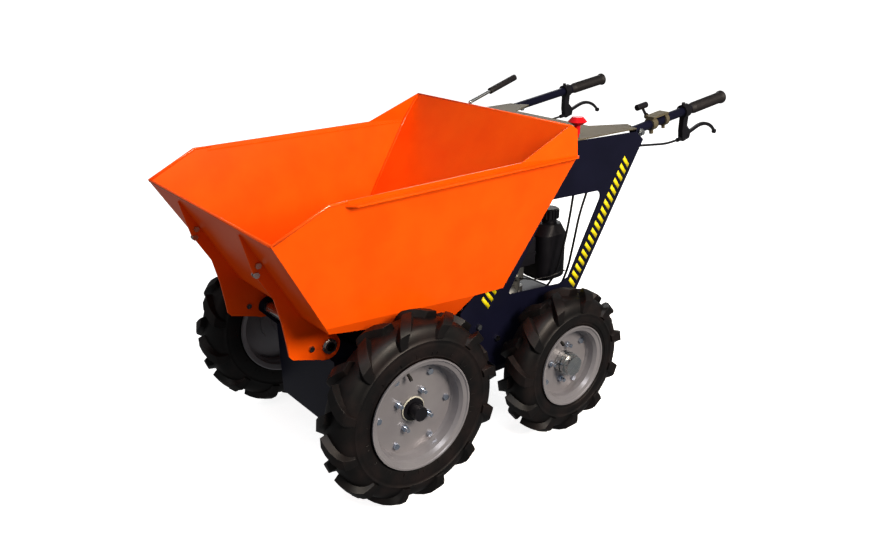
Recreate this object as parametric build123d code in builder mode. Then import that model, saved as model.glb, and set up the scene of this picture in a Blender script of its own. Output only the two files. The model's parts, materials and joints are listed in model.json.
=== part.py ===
"""Four-wheel-drive power wheelbarrow: a tipping steel skip on a chain-driven chassis.

Millimetres. +Z is up, -Y is the front (the tipping end), +X is the machine's left side.
The origin is on the ground in the middle of the machine's length and width.
Heights are above the ground, and lengths along the machine are counted from the front axle.
"""
import os
from math import acos, cos, degrees, hypot, radians, sin

from build123d import *

os.makedirs("parts", exist_ok=True)

# ---- driving dimensions --------------------------------------------------
front_axle_y = -467.7          # where the front axle stands in the machine's own frame
wheelbase = 502.0
front_tyre_r = 244.0           # 4.00-10 traction tyre
rear_tyre_r = 206.5            # 4.00-8 traction tyre
front_rim_r = 140.0            # over the bead flange of a 10 inch rim
rear_rim_r = 114.0             # over the bead flange of an 8 inch rim
front_wheel_x = 326.0          # wheel centre planes
rear_wheel_x = 330.0
front_tyre_w = 100.0
rear_tyre_w = 104.0
rim_w = 94.0
tread_depth = 18.0
front_lugs = 12
rear_lugs = 11
axle_r = 12.5
sheet = 3.0                    # skip plate
plate_t = 4.0                  # side frame plate
frame_x = 256.0                # outer face of the side frames
case_x = 145.0                 # outer face of the drive case
case_front = -95.0
case_rear = 640.0
case_bottom = 120.0
deck_z = 331.0                 # underside of the engine deck
deck_t = 5.0
pivot_y = -115.0               # tipping axis
pivot_z = 381.0
pivot_tube_r = 15.0
ear_x = 163.0                  # outer face of the skip's pivot ears
ear_t = 5.0
handle_x = 239.0
handle_r = 12.7
handle_front = (862.0, 775.0)  # handle tube's front end, along and up
handle_rear = (1240.0, 823.0)
drive_shaft_y = 250.0
drive_shaft_z = 225.0
front_teeth = 26               # axle sprockets: the ratio makes up for the smaller rear tyres
rear_teeth = 22
drive_teeth = 11
chain_pitch = 12.7
front_chain_x = 60.0
rear_chain_x = 84.0
running = 0.05                 # radial clearance of shafts that turn
gap = 0.4                      # clearance between pieces that move past each other

front_axle_z = front_tyre_r
rear_axle_z = rear_tyre_r


# ---- helpers ---------------------------------------------------------------
def export(builder, name):
    builder.part.label = name
    export_step(builder.part, f"parts/{name}.step")


def side_plane(x):
    """Sketch plane parallel to the machine's side: local x runs rearwards from the front axle, local y is up."""
    return Plane(origin=(x, front_axle_y, 0), x_dir=(0, 1, 0), z_dir=(1, 0, 0))


def level_plane(z):
    """Sketch plane seen from above: local x is the machine's X, local y runs rearwards from the front axle."""
    return Plane(origin=(0, front_axle_y, z), x_dir=(1, 0, 0), z_dir=(0, 0, 1))


def wheel_plane(x, y, z):
    """Half-section plane of a wheel: local x along the axle, local y outwards from it."""
    return Plane(origin=(x, front_axle_y + y, z), x_dir=(1, 0, 0), z_dir=(0, -1, 0))


def wheel_axis(y, z):
    return Axis((0, front_axle_y + y, z), (1, 0, 0))


def outline(points, mode=Mode.ADD):
    """Filled polygon in the current sketch."""
    Polygon(*points, align=None, mode=mode)


def panel(points, inside=(0, 130, 620)):
    """Flat sheet with the given 3-D corners as its outer face, thickened towards a point inside the skip."""
    corners = [Vector(x, front_axle_y + y, z) for x, y, z in points]
    normal = (corners[-1] - corners[0]).cross(corners[len(corners) // 2] - corners[0])
    inward = Vector(inside[0], front_axle_y + inside[1], inside[2]) - corners[0]
    if normal.dot(inward) < 0:
        normal = -normal
    flat = Plane(origin=corners[0], x_dir=corners[1] - corners[0], z_dir=normal)
    local = [flat.to_local_coords(corner) for corner in corners]
    with BuildSketch(flat) as face:
        outline([(point.X, point.Y) for point in local])
    extrude(face.sketch, amount=sheet)


def cylinder_x(x0, x1, y, z, radius, mode=Mode.ADD):
    """Bar along X between two stations."""
    with BuildSketch(side_plane(x0)) as face:
        with Locations((y, z)):
            Circle(radius)
    extrude(face.sketch, amount=x1 - x0, mode=mode)


def hexagon_x(x0, x1, y, z, radius):
    """Bolt head or nut along X between two stations."""
    with BuildSketch(side_plane(x0)) as face:
        with Locations((y, z)):
            RegularPolygon(radius, 6)
    extrude(face.sketch, amount=x1 - x0)


def bar(start, end, radius, mode=Mode.ADD):
    """Round bar between two points (x, along, up)."""
    first = Vector(start[0], front_axle_y + start[1], start[2])
    last = Vector(end[0], front_axle_y + end[1], end[2])
    with BuildSketch(Plane(origin=first, z_dir=last - first)) as face:
        Circle(radius)
    extrude(face.sketch, amount=(last - first).length, mode=mode)


def box(low, high, mode=Mode.ADD):
    """Block between two corners given in machine stations."""
    with BuildSketch(level_plane(low[2])) as face:
        with Locations(((low[0] + high[0]) / 2, (low[1] + high[1]) / 2)):
            Rectangle(high[0] - low[0], high[1] - low[1])
    extrude(face.sketch, amount=high[2] - low[2], mode=mode)


def mirrored(source, name):
    """The same piece on the other side of the machine."""
    with BuildPart() as other:
        mirror(source.part, about=Plane.YZ)
    export(other, name)


# ---- skip ---------------------------------------------------------------
# Corner stations (x, along, up) of the left half. Side walls lean out, all in one plane.
def wall_x(y, z):
    return 287.0 - 0.0092 * (y + 188.0) + 0.1444 * (z - 490.0)


front_top = (-313.0, 715.0)
side_front_top = (-186.0, 774.0)
side_rear_top = (342.0, 776.0)
wing_top = (534.0, 762.0)
wing_bottom = (331.0, 447.0)
rear_wall_top = (513.0, 841.0)
rear_wall_bend = (456.0, 759.0)
rear_wall_foot = (236.0, 452.0)
front_wall_foot = (-188.0, 490.0)
belly_front = (-178.0, 472.0)
belly_rear = (186.0, 396.0)
belly_front_x = 284.0
belly_rear_x = 250.0
rear_top_x = 313.0
lip_w = 19.0
lip_z = 765.0
catch_x = 218.0                # the catch sits just inside the left side frame
catch_pivot = (244.0, 366.0)
striker = (216.0, 386.0)


def on_wall(station):
    return (wall_x(*station), *station)


def belly_height(y):
    """Height of the belly's underside at a station."""
    slope = (belly_rear[1] - belly_front[1]) / (belly_rear[0] - belly_front[0])
    return belly_front[1] + slope * (y - belly_front[0])


def swapped(points):
    return [(-x, y, z) for x, y, z in reversed(points)]


def wall_face(corners, inset):
    """Plane through three corners of a wall, facing outwards and moved inwards by inset."""
    first, second, third = [Vector(x, front_axle_y + y, z) for x, y, z in corners]
    normal = (second - first).cross(third - first).normalized()
    if normal.dot(Vector(0, front_axle_y + 130, 620) - first) > 0:
        normal = -normal
    return Plane(origin=first - normal * inset, z_dir=normal)


def level_edge(station):
    """Two corners that make a wall run straight across the machine at a station."""
    return [(100, *station), (-100, *station)]


corner_fold = [on_wall(side_rear_top), (rear_top_x, *rear_wall_top), on_wall(wing_top)]
belly_side = [on_wall(front_wall_foot), on_wall(rear_wall_foot), (belly_rear_x, *belly_rear)]
side_wall = [on_wall(p) for p in (front_top, side_front_top, rear_wall_foot)]
skip_walls = [level_edge(front_top) + [(0, *front_wall_foot)], level_edge(rear_wall_top) + [(0, *rear_wall_bend)],
              level_edge(rear_wall_bend) + [(0, *rear_wall_foot)], level_edge(rear_wall_foot) + [(0, *belly_rear)],
              level_edge(belly_rear) + [(0, *belly_front)]]
for corners in (side_wall, corner_fold, belly_side):
    skip_walls += [corners, swapped(corners)]


def filled_tub(inset):
    """The skip as a solid block, cut back to its walls, each moved inwards by inset."""
    box((-360, -400, 380), (360, 600, 900))
    for corners in skip_walls:
        split(bisect_by=wall_face(corners, inset), keep=Keep.BOTTOM)


with BuildPart() as skip_hollow:
    filled_tub(sheet)
with BuildPart() as skip_tub:
    filled_tub(0)
    add(skip_hollow.part, mode=Mode.SUBTRACT)
    # open top, cut to the line of the rim as seen from the side
    with BuildSketch(side_plane(-400)):
        outline([(-500, 715), front_top, side_front_top, side_rear_top, rear_wall_top, (700, 841),
                 (700, 1000), (-500, 1000)])
    extrude(amount=800, mode=Mode.SUBTRACT)
    # side walls run on behind the rear wall as wings
    wing = [on_wall(p) for p in (side_rear_top, wing_top, wing_bottom, rear_wall_foot)]
    corner_flap = corner_fold[:2] + [(rear_top_x + 1, rear_wall_top[0] + 22, rear_wall_top[1] - 14), corner_fold[2]]
    for wall in (wing, corner_flap):
        panel(wall)
        panel(swapped(wall))
    # folded lips along both side walls
    for side in (1, -1):
        with BuildSketch(level_plane(lip_z)):
            front_x = wall_x(-150, lip_z)
            rear_x = wall_x(wing_top[0], lip_z)
            outline([(side * (front_x - 4), -150), (side * (front_x + lip_w), -128),
                     (side * (rear_x + lip_w), wing_top[0] - 16), (side * (rear_x + lip_w - 12), wing_top[0] - 2),
                     (side * (rear_x - 4), wing_top[0] - 2)])
        extrude(amount=-sheet)
export(skip_tub, "skip_tub")

# Striker that the catch hooks over: two cheeks welded behind the belly's rear edge, and a pin between them.
with BuildPart() as catch_striker:
    for x in (catch_x - 18, catch_x + 14):
        with BuildSketch(side_plane(x)) as cheek:
            outline([(191.2, 400.5), (213.6, 426.5), (226, 392), (222, 380), (210, 380)])
        extrude(cheek.sketch, amount=4)
    cylinder_x(catch_x - 14, catch_x + 14, *striker, 5)
export(catch_striker, "catch_striker")

# Pivot ears: ribs up the front wall that run down into legs round the tipping tube.
ear_front_edge = [(-305, 694), (-284, 607), (-242, 532), (-229, 470), (-222, 415), (-219, 384)]
ear_bolt_spots = [(-277, 600), (-271, 620), (-162, 388)]
with BuildPart() as skip_pivot_ears:
    for x in (ear_x - ear_t, -ear_x):
        with BuildSketch(side_plane(x)):
            with BuildLine():
                Polyline((-301.4, 694), *ear_front_edge)
                Line((-219, 384), (-211, 374))
                Line((-211, 374), (-142, 353))
                ThreePointArc((-142, 353), (-92, 362), (-85, 388))
                Polyline((-85, 388), (-120, 459.8), (-178.2, 471.9), (-188.2, 490), (-301.4, 694))
            make_face()
            with Locations((pivot_y, pivot_z)):
                Circle(pivot_tube_r + running, mode=Mode.SUBTRACT)
            with Locations(*ear_bolt_spots):
                Circle(4.1, mode=Mode.SUBTRACT)
        extrude(amount=ear_t)
export(skip_pivot_ears, "skip_pivot_ears")

with BuildPart() as skip_ear_bolts:
    for side in (1, -1):
        for y, z in ear_bolt_spots:
            cylinder_x(side * (ear_x - ear_t - 4), side * (ear_x + 1), y, z, 4.0)
            hexagon_x(side * ear_x, side * (ear_x + 5), y, z, 7.5)
            hexagon_x(side * (ear_x - ear_t), side * (ear_x - ear_t - 4), y, z, 7.5)
export(skip_ear_bolts, "skip_ear_bolts")

# ---- chassis ---------------------------------------------------------------
frame_outline = [(208, 402), (262, 449), (470, 735), (596, 779.6), (838, 773), (868, 748), (612, 335),
                 (600, 300), (560, 300), (440, 215), (330, 215), (208, 330)]
window_outline = [(366, 411), (512, 639), (716, 631), (594, 404), (560, 393)]
handle_bolt = (856, 769)

with BuildPart() as side_frame_left:
    with BuildSketch(side_plane(frame_x - plate_t)):
        outline(frame_outline)
        with BuildSketch(mode=Mode.PRIVATE) as window:
            outline(window_outline)
            fillet(window.vertices().group_by(Axis.X)[-1], 18)
            fillet(window.vertices().group_by(Axis.X)[0], 8)
        add(window.sketch, mode=Mode.SUBTRACT)
        with Locations(handle_bolt):
            Circle(4.2, mode=Mode.SUBTRACT)
    extrude(amount=plate_t)
    # inward flange that the engine deck bolts to
    box((frame_x - 34, 300, deck_z + deck_t), (frame_x - 1, 580, deck_z + deck_t + 4))
    # turned-in lip down the back edge
    with BuildSketch(side_plane(frame_x - 24)):
        outline([(868, 748), (612, 335), (606.5, 337), (862.5, 750)])
    extrude(amount=24)
export(side_frame_left, "side_frame_left")
mirrored(side_frame_left, "side_frame_right")

with BuildPart() as drive_case:
    box((-case_x, case_front, case_bottom), (case_x, case_rear, deck_z))
    box((-case_x + 4, case_front + 4, case_bottom + 4), (case_x - 4, case_rear - 4, deck_z + 1),
        mode=Mode.SUBTRACT)
    # lugs that carry the tipping tube
    for x in (case_x - 4, -case_x):
        with BuildSketch(side_plane(x)):
            with BuildLine():
                Polyline((case_front, deck_z - 8), (pivot_y - 26, pivot_z - 6))
                ThreePointArc((pivot_y - 26, pivot_z - 6), (pivot_y, pivot_z + 26), (pivot_y + 26, pivot_z + 4))
                Polyline((pivot_y + 26, pivot_z + 4), (case_front + 90, deck_z), (case_front + 90, deck_z - 8),
                         (case_front, deck_z - 8))
            make_face()
        extrude(amount=4)
    # bores for the tipping tube and for the axle bearings
    for y, z, r in ((pivot_y, pivot_z, pivot_tube_r), (0, front_axle_z, 26), (wheelbase, rear_axle_z, 26)):
        cylinder_x(-case_x - 1, case_x + 1, y, z, r, mode=Mode.SUBTRACT)
export(drive_case, "drive_case")

deck_rear = 622.0
pulley_y = 250.0
crank_y = 452.0
crank_x = 20.0
with BuildPart() as engine_deck:
    with BuildSketch(level_plane(deck_z)):
        outline([(-frame_x + plate_t + 1, 300), (-case_x, 212), (case_x, 212), (frame_x - plate_t - 1, 300),
                 (frame_x - plate_t - 1, 585), (case_x, deck_rear), (-case_x, deck_rear),
                 (-frame_x + plate_t + 1, 585)])
        with Locations((crank_x, crank_y)):
            Circle(34, mode=Mode.SUBTRACT)
    extrude(amount=deck_t)
export(engine_deck, "engine_deck")

with BuildPart() as case_cover:
    with BuildSketch(level_plane(deck_z)):
        with Locations((0, (case_front + 90 + 210) / 2)):
            Rectangle(2 * case_x, 210 - case_front - 90)
    extrude(amount=3)
    # pads that the skip's belly rests on, their tops parallel to its floor
    for x in (-120, 70):
        with BuildSketch(side_plane(x)):
            outline([(98, deck_z + 2), (142, deck_z + 2), (142, belly_height(142) - gap), (98, belly_height(98) - gap)])
        extrude(amount=50)
export(case_cover, "case_cover")

with BuildPart() as pivot_tube:
    cylinder_x(-ear_x - 9, ear_x + 9, pivot_y, pivot_z, pivot_tube_r)
    cylinder_x(-ear_x - 10, ear_x + 10, pivot_y, pivot_z, pivot_tube_r - 4.5, mode=Mode.SUBTRACT)
    for x in (ear_x + gap + 0.4, -ear_x - gap - 3.4):
        with BuildSketch(side_plane(x)):
            with Locations((pivot_y, pivot_z)):
                Circle(pivot_tube_r + 4)
                Circle(pivot_tube_r - 4.5, mode=Mode.SUBTRACT)
        extrude(amount=3)
export(pivot_tube, "pivot_tube")

with BuildPart() as axle_bearings:
    for y, z in ((0, front_axle_z), (wheelbase, rear_axle_z)):
        for side in (1, -1):
            with BuildSketch(wheel_plane(0, y, z)):
                with BuildLine():
                    Polyline((side * (case_x - 12), axle_r + running), (side * (case_x - 12), 26),
                             (side * case_x, 26), (side * case_x, 44), (side * (case_x + 7), 44),
                             (side * (case_x + 9), 30), (side * (case_x + 26), 27),
                             (side * (case_x + 26), axle_r + running), close=True)
                make_face()
            revolve(axis=wheel_axis(y, z))
export(axle_bearings, "axle_bearings")

with BuildPart() as gearbox_housing:
    with BuildSketch(side_plane(-70)):
        with Locations((drive_shaft_y, drive_shaft_z)):
            RectangleRounded(96, 100, 24)
            Circle(10 + running, mode=Mode.SUBTRACT)
    extrude(amount=110)
    with BuildSketch(level_plane(drive_shaft_z + 50)):
        with Locations((-15, pulley_y)):
            Circle(26)
            Circle(8 + running, mode=Mode.SUBTRACT)
    extrude(amount=12)
    with BuildSketch(level_plane(drive_shaft_z + 51)):
        with Locations((-15, pulley_y)):
            Circle(8 + running)
    extrude(amount=-21, mode=Mode.SUBTRACT)
    for x in (-62, 32):
        box((x - 8, drive_shaft_y - 44, case_bottom + 4), (x + 8, drive_shaft_y + 44, drive_shaft_z - 46))
    # outboard bearing block of the drive shaft
    box((110, drive_shaft_y - 22, case_bottom + 4), (126, drive_shaft_y + 22, drive_shaft_z + 24))
    cylinder_x(109, 127, drive_shaft_y, drive_shaft_z, 10 + running, mode=Mode.SUBTRACT)
export(gearbox_housing, "gearbox_housing")


def sprocket_radius(teeth):
    return chain_pitch / (2 * sin(radians(180 / teeth)))


def sprocket(x, y, z, teeth):
    """Plate sprocket with one tooth for each chain gap, square to the X axis."""
    root_r = sprocket_radius(teeth) - 4.6
    tooth_r = sprocket_radius(teeth) + 2.6
    with BuildSketch(side_plane(x - 3)) as face:
        with Locations((y, z)):
            Circle(root_r)
            with PolarLocations((root_r + tooth_r - 1) / 2, teeth):
                Trapezoid(5.2, tooth_r - root_r + 1, 74, rotation=-90)
    extrude(face.sketch, amount=6)


def chain_loop(x, first, second, teeth_first, teeth_second):
    """Closed chain as one band that wraps both sprockets."""
    inner = [sprocket_radius(t) + 3.2 for t in (teeth_first, teeth_second)]
    for grow, mode in ((6.0, Mode.ADD), (0.0, Mode.SUBTRACT)):
        length = hypot(second[0] - first[0], second[1] - first[1])
        ux, uy = (second[0] - first[0]) / length, (second[1] - first[1]) / length
        turn = degrees(acos((inner[0] - inner[1]) / length))
        with BuildSketch(side_plane(x - 5)) as face:
            for centre, radius in ((first, inner[0] + grow), (second, inner[1] + grow)):
                with Locations(centre):
                    Circle(radius)
            tangent = []
            for side in (1, -1):
                c, s = cos(radians(side * turn)), sin(radians(side * turn))
                nx, ny = ux * c - uy * s, ux * s + uy * c
                tangent.append([(centre[0] + nx * (radius + grow), centre[1] + ny * (radius + grow))
                                for centre, radius in zip((first, second), inner)])
            outline([tangent[0][0], tangent[0][1], tangent[1][1], tangent[1][0]])
        extrude(face.sketch, amount=10, mode=mode)


drive_point = (drive_shaft_y, drive_shaft_z)
with BuildPart() as front_chain:
    chain_loop(front_chain_x, (0, front_axle_z), drive_point, front_teeth, drive_teeth)
with BuildPart() as drive_chains:
    chain_loop(rear_chain_x, (wheelbase, rear_axle_z), drive_point, rear_teeth, drive_teeth)
    add(front_chain.part)
export(drive_chains, "drive_chains")

with BuildPart() as drive_shaft:
    cylinder_x(-66, 132, *drive_point, 10)
    for x in (front_chain_x, rear_chain_x):
        sprocket(x, *drive_point, drive_teeth)
    cylinder_x(front_chain_x - 10, rear_chain_x + 10, *drive_point, 16)
export(drive_shaft, "drive_shaft")

frame_bolt_spots = [(267, 350), (466, 305), (330, 300), (582, 345)]
with BuildPart() as frame_bolts:
    for side in (1, -1):
        for y, z in frame_bolt_spots:
            hexagon_x(side * frame_x, side * (frame_x + 7), y, z, 8)
    # headed stud on the left side frame that the catch turns on
    cylinder_x(catch_x - 16, frame_x - plate_t, *catch_pivot, 7)
    cylinder_x(catch_x + 11, frame_x - plate_t, *catch_pivot, 12)
    cylinder_x(catch_x - 16, catch_x - 11, *catch_pivot, 12)
export(frame_bolts, "frame_bolts")

# cross tubes that tie the side frames to the drive case
with BuildPart() as frame_cross_tubes:
    for y, z in ((267, 290), (570, 312)):
        for side in (1, -1):
            low, high = sorted((side * case_x, side * (frame_x - plate_t)))
            with BuildSketch(side_plane(low)):
                with Locations((y, z)):
                    Rectangle(44, 34)
                    Rectangle(38, 28, mode=Mode.SUBTRACT)
            extrude(amount=high - low)
export(frame_cross_tubes, "frame_cross_tubes")

# ---- console ---------------------------------------------------------------
console_z = 783.0
slot_x, slot_y = -200.0, 640.0
lever_base_y, lever_base_z = 621.0, console_z - 28
with BuildPart() as console_panel:
    with BuildSketch(level_plane(console_z - 3)):
        outline([(-frame_x, 600), (frame_x, 600), (frame_x, 836), (200, 862), (149, 759), (-149, 759),
                 (-200, 862), (-frame_x, 836)])
        with Locations((slot_x, slot_y)):
            SlotOverall(70, 12, rotation=90, mode=Mode.SUBTRACT)
        with Locations((232, 622)):
            Circle(6 + gap, mode=Mode.SUBTRACT)
    extrude(amount=3)
    # turned-down front edge
    box((-frame_x + plate_t, 600, 742), (frame_x - plate_t, 603, console_z - 3))
    # bracket under the slot, with the pin that the gear lever turns on
    for x in (slot_x - 18, slot_x + 14.5):
        with BuildSketch(side_plane(x)) as cheek:
            outline([(lever_base_y - 14, lever_base_z - 12), (lever_base_y + 16, lever_base_z - 12),
                     (lever_base_y + 22, console_z - 2), (lever_base_y - 20, console_z - 2)])
        extrude(cheek.sketch, amount=3.5)
    cylinder_x(slot_x - 18, slot_x + 18, lever_base_y, lever_base_z, 5)
    # notches round the ends of the handle tubes
    for side in (1, -1):
        box((side * handle_x - 14, 838, console_z - 4), (side * handle_x + 14, 870, console_z + 1), mode=Mode.SUBTRACT)
export(console_panel, "console_panel")

# ---- engine -----------------------------------------------------------------
engine_z = deck_z + deck_t      # engine foot on the deck
with BuildPart() as crankcase:
    with BuildSketch(level_plane(engine_z)):
        with Locations((crank_x, crank_y)):
            RectangleRounded(210, 200, 30)
            with GridLocations(180, 170, 2, 2):
                Circle(16)
    extrude(amount=14)
    with BuildSketch(level_plane(engine_z + 14)):
        with Locations((crank_x, crank_y)):
            RectangleRounded(186, 176, 34)
    extrude(amount=86, taper=4)
    # spigot round the crankshaft, through the deck
    with BuildSketch(level_plane(engine_z - 16)):
        with Locations((crank_x, crank_y)):
            Circle(33)
    extrude(amount=17)
    with BuildSketch(level_plane(engine_z - 17)):
        with Locations((crank_x, crank_y)):
            Circle(12.5 + running)
    extrude(amount=90, mode=Mode.SUBTRACT)
    # oil filler
    bar((crank_x - 60, crank_y + 60, engine_z + 60), (crank_x - 88, crank_y + 100, engine_z + 112), 14)
export(crankcase, "crankcase")

cylinder_y = crank_y - 92
with BuildPart() as engine_cylinder:
    box((crank_x - 40, cylinder_y - 78, engine_z + 30), (crank_x + 40, cylinder_y + 4, engine_z + 96))
    fin_count = 8
    for step in range(fin_count):
        fin_y = cylinder_y - 74 + 10 * step
        box((crank_x - 58, fin_y, engine_z + 16), (crank_x + 58, fin_y + 3, engine_z + 112))
    box((crank_x - 50, cylinder_y - 96, engine_z + 24), (crank_x + 50, cylinder_y - 77, engine_z + 104))
export(engine_cylinder, "engine_cylinder")

with BuildPart() as spark_plug:
    plug_start = (crank_x, cylinder_y - 96, engine_z + 66)
    bar(plug_start, (crank_x, cylinder_y - 104, engine_z + 66), 10)
    bar((crank_x, cylinder_y - 104, engine_z + 66), (crank_x, cylinder_y - 126, engine_z + 66), 7)
    bar((crank_x, cylinder_y - 116, engine_z + 66), (crank_x, cylinder_y - 116, engine_z + 98), 9)
export(spark_plug, "spark_plug")

blower_foot = engine_z + 116
with BuildPart() as blower_housing:
    with BuildSketch(level_plane(blower_foot)):
        with Locations((crank_x, crank_y)):
            Circle(112)
        outline([(crank_x - 62, crank_y - 170), (crank_x + 62, crank_y - 170), (crank_x + 100, crank_y - 40),
                 (crank_x - 100, crank_y - 40)])
    extrude(amount=52)
    fillet(blower_housing.faces().sort_by(Axis.Z)[-1].edges(), 12)
    with BuildSketch(level_plane(blower_foot + 52)):
        with Locations((crank_x, crank_y)):
            Circle(84)
    extrude(amount=24)
    fillet(blower_housing.faces().sort_by(Axis.Z)[-1].edges(), 8)
    # cooling slots in the recoil cover
    with BuildSketch(level_plane(blower_foot + 77)):
        with Locations((crank_x, crank_y)):
            with PolarLocations(56, 18):
                SlotOverall(34, 6)
    extrude(amount=-6, mode=Mode.SUBTRACT)
    # starter grip on its cord outlet
    box((crank_x - 26, crank_y + 92, blower_foot + 30), (crank_x + 26, crank_y + 130, blower_foot + 48))
    # hollow under the cover, over the crankcase
    with BuildSketch(level_plane(blower_foot)):
        with Locations((crank_x, crank_y)):
            Circle(100)
    extrude(amount=30, mode=Mode.SUBTRACT)
    # legs down to the crankcase
    for dx, dy in ((-80, -62), (80, -62), (-80, 62), (80, 62)):
        bar((crank_x + dx, crank_y + dy, engine_z + 101), (crank_x + dx, crank_y + dy, blower_foot + 34), 9)
export(blower_housing, "blower_housing")

tank_x, tank_y = 128.0, 622.0
tank_foot, tank_shoulder = 366.0, 500.0
with BuildPart() as fuel_tank:
    with BuildSketch(level_plane(tank_foot)) as tank_foot_face:
        with Locations((tank_x, tank_y)):
            RectangleRounded(104, 100, 30)
    extrude(amount=tank_shoulder - tank_foot)
    with BuildSketch(level_plane(tank_shoulder)):
        with Locations((tank_x, tank_y)):
            RectangleRounded(104, 100, 30)
    with BuildSketch(level_plane(tank_shoulder + 26)):
        with Locations((tank_x + 6, tank_y + 8)):
            RectangleRounded(66, 64, 26)
    loft()
    with BuildSketch(level_plane(tank_shoulder + 25)):
        with Locations((tank_x + 6, tank_y + 12)):
            Circle(21)
    extrude(amount=14)
    fillet(fuel_tank.faces().sort_by(Axis.Z)[0].edges(), 12)
    # bracket to the crankcase
    box((tank_x - 88, tank_y - 60, 396), (tank_x - 40, tank_y + 10, 404))
    box((tank_x - 88, tank_y - 82, 396), (tank_x - 60, tank_y - 52, 404))
export(fuel_tank, "fuel_tank")

with BuildPart() as fuel_cap:
    with BuildSketch(level_plane(tank_shoulder + 39)):
        with Locations((tank_x + 6, tank_y + 12)):
            Circle(25)
            with PolarLocations(25, 16):
                Circle(2.6)
    extrude(amount=26)
    with BuildSketch(level_plane(tank_shoulder + 65)):
        with Locations((tank_x + 6, tank_y + 12)):
            Circle(22)
    extrude(amount=2.5)
export(fuel_cap, "fuel_cap")

with BuildPart() as air_cleaner:
    with BuildSketch(level_plane(440)):
        with Locations((162, 478)):
            RectangleRounded(50, 116, 10)
    extrude(amount=76)
    fillet(air_cleaner.faces().sort_by(Axis.Z)[-1].edges(), 7)
    # cover seam
    with BuildSketch(level_plane(468)):
        with Locations((162, 478)):
            RectangleRounded(54, 120, 11)
    extrude(amount=4)
export(air_cleaner, "air_cleaner")

with BuildPart() as carburettor:
    box((130, 470, 392), (168, 506, 440))
    bar((149, 488, 392), (149, 488, 364), 17)
    bar((114.5, 478, 412), (132, 478, 412), 13)
    bar((166, 482, 404), (174, 482, 404), 8)
    box((136, 462, 424), (180, 471, 430))
export(carburettor, "carburettor")

with BuildPart() as muffler:
    with BuildSketch(side_plane(-176)):
        with Locations((crank_y - 60, 420)):
            RectangleRounded(120, 74, 14)
    extrude(amount=70)
    bar((-108, crank_y - 96, 420), (crank_x - 65, cylinder_y - 40, 414), 14)
    for step in range(5):
        with BuildSketch(side_plane(-178)):
            with Locations((crank_y - 90 + 15 * step, 420)):
                SlotOverall(44, 5, rotation=90)
        extrude(amount=3)
export(muffler, "muffler")

engine_pulley_z = 302.0
engine_pulley_r, gearbox_pulley_r = 34.0, 62.0
with BuildPart() as engine_shaft:
    with BuildSketch(level_plane(engine_pulley_z - 16)):
        with Locations((crank_x, crank_y)):
            Circle(12.5)
    extrude(amount=engine_z + 66 - engine_pulley_z + 16)
    with BuildSketch(level_plane(engine_pulley_z - 12)):
        with Locations((crank_x, crank_y)):
            Circle(engine_pulley_r)
    extrude(amount=24)
    with BuildSketch(level_plane(engine_pulley_z - 6)):
        with Locations((crank_x, crank_y)):
            Circle(engine_pulley_r + 1)
            Circle(engine_pulley_r - 9, mode=Mode.SUBTRACT)
    extrude(amount=12, mode=Mode.SUBTRACT)
export(engine_shaft, "engine_shaft")

gearbox_shaft_x = -15.0
with BuildPart() as gearbox_pulley:
    with BuildSketch(level_plane(drive_shaft_z + 31)):
        with Locations((gearbox_shaft_x, pulley_y)):
            Circle(8)
    extrude(amount=engine_pulley_z + 14 - drive_shaft_z - 31)
    with BuildSketch(level_plane(engine_pulley_z - 10)):
        with Locations((gearbox_shaft_x, pulley_y)):
            Circle(gearbox_pulley_r)
            with PolarLocations(34, 5):
                Circle(9, mode=Mode.SUBTRACT)
    extrude(amount=20)
    with BuildSketch(level_plane(engine_pulley_z - 6)):
        with Locations((gearbox_shaft_x, pulley_y)):
            Circle(gearbox_pulley_r + 1)
            Circle(gearbox_pulley_r - 9, mode=Mode.SUBTRACT)
    extrude(amount=12, mode=Mode.SUBTRACT)
export(gearbox_pulley, "gearbox_pulley")


def belt_ring(grow):
    """Outline of the belt round both pulleys, at a height above the groove floors."""
    first, second = (crank_x, crank_y), (gearbox_shaft_x, pulley_y)
    radii = (engine_pulley_r - 9 + grow, gearbox_pulley_r - 9 + grow)
    length = hypot(second[0] - first[0], second[1] - first[1])
    ux, uy = (second[0] - first[0]) / length, (second[1] - first[1]) / length
    turn = degrees(acos((radii[0] - radii[1]) / length))
    tangent = []
    for side in (1, -1):
        c, s = cos(radians(side * turn)), sin(radians(side * turn))
        nx, ny = ux * c - uy * s, ux * s + uy * c
        tangent.append([(p[0] + nx * r, p[1] + ny * r) for p, r in zip((first, second), radii)])
    for centre, radius in zip((first, second), radii):
        with Locations(centre):
            Circle(radius)
    outline([tangent[0][0], tangent[0][1], tangent[1][1], tangent[1][0]])


with BuildPart() as drive_belt:
    for grow, mode in ((9.0, Mode.ADD), (0.8, Mode.SUBTRACT)):
        with BuildSketch(level_plane(engine_pulley_z - 5)) as ring:
            belt_ring(grow)
        extrude(ring.sketch, amount=10, mode=mode)
export(drive_belt, "drive_belt")

# ---- handlebars ---------------------------------------------------------------
handle_length = hypot(handle_rear[0] - handle_front[0], handle_rear[1] - handle_front[1])
handle_dir = ((handle_rear[0] - handle_front[0]) / handle_length, (handle_rear[1] - handle_front[1]) / handle_length)


def along_handle(distance, lift=0.0):
    """Station (along, up) on the handle tube, counted from its front end, lifted square to it."""
    return (handle_front[0] + handle_dir[0] * distance - handle_dir[1] * lift,
            handle_front[1] + handle_dir[1] * distance + handle_dir[0] * lift)


def handle_bar(x, start, end, radius, lift=0.0, mode=Mode.ADD):
    """Round bar concentric with a handle tube, or parallel to it."""
    bar((x, *along_handle(start, lift)), (x, *along_handle(end, lift)), radius, mode=mode)


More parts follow.
